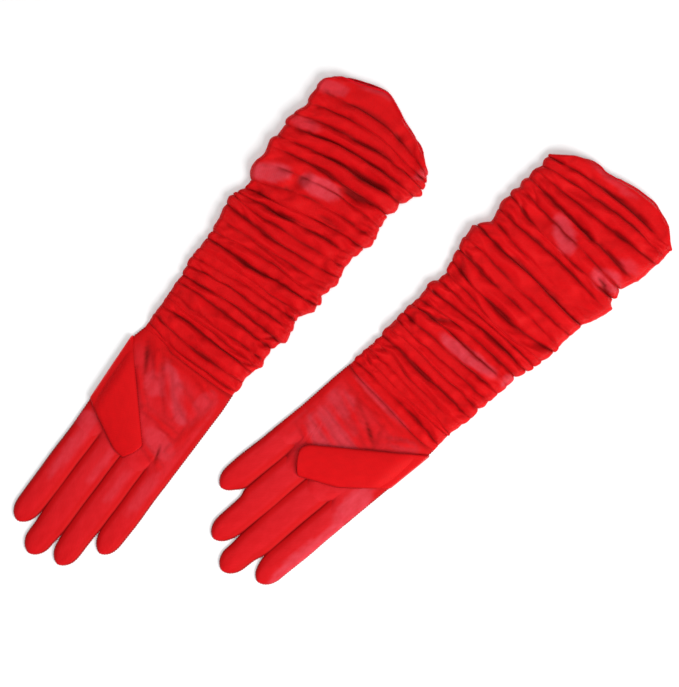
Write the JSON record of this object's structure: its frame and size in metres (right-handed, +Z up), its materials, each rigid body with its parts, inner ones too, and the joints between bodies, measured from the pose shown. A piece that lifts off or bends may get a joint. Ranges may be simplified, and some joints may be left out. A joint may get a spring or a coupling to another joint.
{
  "type": "opera gloves",
  "caption": "Pair of sheer stretch-mesh opera gloves, laid palms up, with thumbs folded across the palms and long sleeves gathered along elastic side seams.",
  "frame": {"origin": "centre of the pair's footprint, on the surface that the gloves lie on", "axes": "+Z up out of the palms; +Y from the fingertips toward the cuffs, midway between the two gloves; +X from the right-hand glove to the left-hand glove"},
  "size_m": [0.3018, 0.5413, 0.02],
  "materials": {
    "mesh": "sheer red stretch mesh, satin sheen",
    "seam": "overlocked seam allowance and rolled hem, matt red",
    "elastic": "narrow elastic tape covered by gathered mesh"
  },
  "bodies": {
    "right_forearm": {"right_forearm_back": "mesh", "right_forearm_front": "mesh", "right_forearm_thumb_elastic": "elastic", "right_forearm_little_elastic": "elastic"},
    "right_hand": {"right_back_panel": "mesh", "right_palm_panel": "mesh", "right_hand_side_seams": "seam"},
    "right_index": {"right_index_back": "mesh", "right_index_palm": "mesh", "right_index_seam": "seam"},
    "right_middle": {"right_middle_back": "mesh", "right_middle_palm": "mesh", "right_middle_seam": "seam"},
    "right_ring": {"right_ring_back": "mesh", "right_ring_palm": "mesh", "right_ring_seam": "seam"},
    "right_little": {"right_little_back": "mesh", "right_little_palm": "mesh", "right_little_seam": "seam"},
    "right_thumb": {"right_thumb_under": "mesh", "right_thumb_over": "mesh", "right_thumb_seam": "seam"},
    "right_upper": {"right_upper_back": "mesh", "right_upper_front": "mesh", "right_upper_thumb_elastic": "elastic", "right_upper_little_elastic": "elastic"},
    "right_cuff": {"right_cuff_back": "mesh", "right_cuff_front": "mesh", "right_cuff_side_seams": "seam", "right_cuff_hem": "seam"},
    "left_forearm": {"left_forearm_back": "mesh", "left_forearm_front": "mesh", "left_forearm_thumb_elastic": "elastic", "left_forearm_little_elastic": "elastic"},
    "left_hand": {"left_back_panel": "mesh", "left_palm_panel": "mesh", "left_hand_side_seams": "seam"},
    "left_index": {"left_index_back": "mesh", "left_index_palm": "mesh", "left_index_seam": "seam"},
    "left_middle": {"left_middle_back": "mesh", "left_middle_palm": "mesh", "left_middle_seam": "seam"},
    "left_ring": {"left_ring_back": "mesh", "left_ring_palm": "mesh", "left_ring_seam": "seam"},
    "left_little": {"left_little_back": "mesh", "left_little_palm": "mesh", "left_little_seam": "seam"},
    "left_thumb": {"left_thumb_under": "mesh", "left_thumb_over": "mesh", "left_thumb_seam": "seam"},
    "left_upper": {"left_upper_back": "mesh", "left_upper_front": "mesh", "left_upper_thumb_elastic": "elastic", "left_upper_little_elastic": "elastic"},
    "left_cuff": {"left_cuff_back": "mesh", "left_cuff_front": "mesh", "left_cuff_side_seams": "seam", "left_cuff_hem": "seam"}
  },
  "joints": [
    {"name": "right_wrist_fold", "type": "hinge", "parent": "right_forearm", "child": "right_hand", "pos_m": [-0.07496, -0.07192, 0.0134], "axis": [-0.9973, -0.0732, 0], "range_deg": [0, 60]},
    {"name": "right_index_curl", "type": "hinge", "parent": "right_hand", "child": "right_index", "pos_m": [-0.1017, -0.16863, 0.0064], "axis": [-0.9962, -0.0872, 0], "range_deg": [0, 90]},
    {"name": "right_middle_curl", "type": "hinge", "parent": "right_hand", "child": "right_middle", "pos_m": [-0.07872, -0.16745, 0.0064], "axis": [-0.9962, -0.0872, 0], "range_deg": [0, 90]},
    {"name": "right_ring_curl", "type": "hinge", "parent": "right_hand", "child": "right_ring", "pos_m": [-0.05582, -0.16526, 0.0064], "axis": [-0.9956, -0.0941, 0], "range_deg": [0, 90]},
    {"name": "right_little_curl", "type": "hinge", "parent": "right_hand", "child": "right_little", "pos_m": [-0.03406, -0.16116, 0.0064], "axis": [-0.9956, -0.0941, 0], "range_deg": [0, 90]},
    {"name": "right_thumb_open", "type": "hinge", "parent": "right_hand", "child": "right_thumb", "pos_m": [-0.12051, -0.11637, 0.0066], "axis": [0.1411, -0.99, 0], "range_deg": [0, 170]},
    {"name": "right_elbow_fold", "type": "hinge", "parent": "right_forearm", "child": "right_upper", "pos_m": [-0.08433, 0.05574, 0.018], "axis": [0.9973, 0.0732, 0], "range_deg": [0, 110]},
    {"name": "right_cuff_stretch", "type": "slide", "parent": "right_upper", "child": "right_cuff", "axis": [-0.0732, 0.9973, 0], "range_m": [0, 0.05]},
    {"name": "left_wrist_fold", "type": "hinge", "parent": "left_forearm", "child": "left_hand", "pos_m": [0.06754, 0.00908, 0.0134], "axis": [-0.9973, 0.0732, 0], "range_deg": [0, 60]},
    {"name": "left_index_curl", "type": "hinge", "parent": "left_hand", "child": "left_index", "pos_m": [0.09254, -0.084, 0.0064], "axis": [-0.991, 0.134, 0], "range_deg": [0, 90]},
    {"name": "left_middle_curl", "type": "hinge", "parent": "left_hand", "child": "left_middle", "pos_m": [0.06742, -0.08466, 0.0064], "axis": [-0.99, 0.1409, 0], "range_deg": [0, 90]},
    {"name": "left_ring_curl", "type": "hinge", "parent": "left_hand", "child": "left_ring", "pos_m": [0.04253, -0.08233, 0.0064], "axis": [-0.9919, 0.1271, 0], "range_deg": [0, 90]},
    {"name": "left_little_curl", "type": "hinge", "parent": "left_hand", "child": "left_little", "pos_m": [0.01954, -0.06761, 0.0064], "axis": [-0.9866, 0.1633, 0], "range_deg": [0, 90]},
    {"name": "left_thumb_open", "type": "hinge", "parent": "left_hand", "child": "left_thumb", "pos_m": [0.1139, -0.01939, 0.0066], "axis": [0.153, 0.9882, 0], "range_deg": [0, 170]},
    {"name": "left_elbow_fold", "type": "hinge", "parent": "left_forearm", "child": "left_upper", "pos_m": [0.07691, 0.13674, 0.018], "axis": [0.9973, -0.0732, 0], "range_deg": [0, 110]},
    {"name": "left_cuff_stretch", "type": "slide", "parent": "left_upper", "child": "left_cuff", "axis": [0.0732, 0.9973, 0], "range_m": [0, 0.05]},
    {"name": "left_glove_lift", "type": "slide", "parent": "right_forearm", "child": "left_forearm", "axis": [0, 0, 1], "range_m": [0, 0.3]}
  ]
}
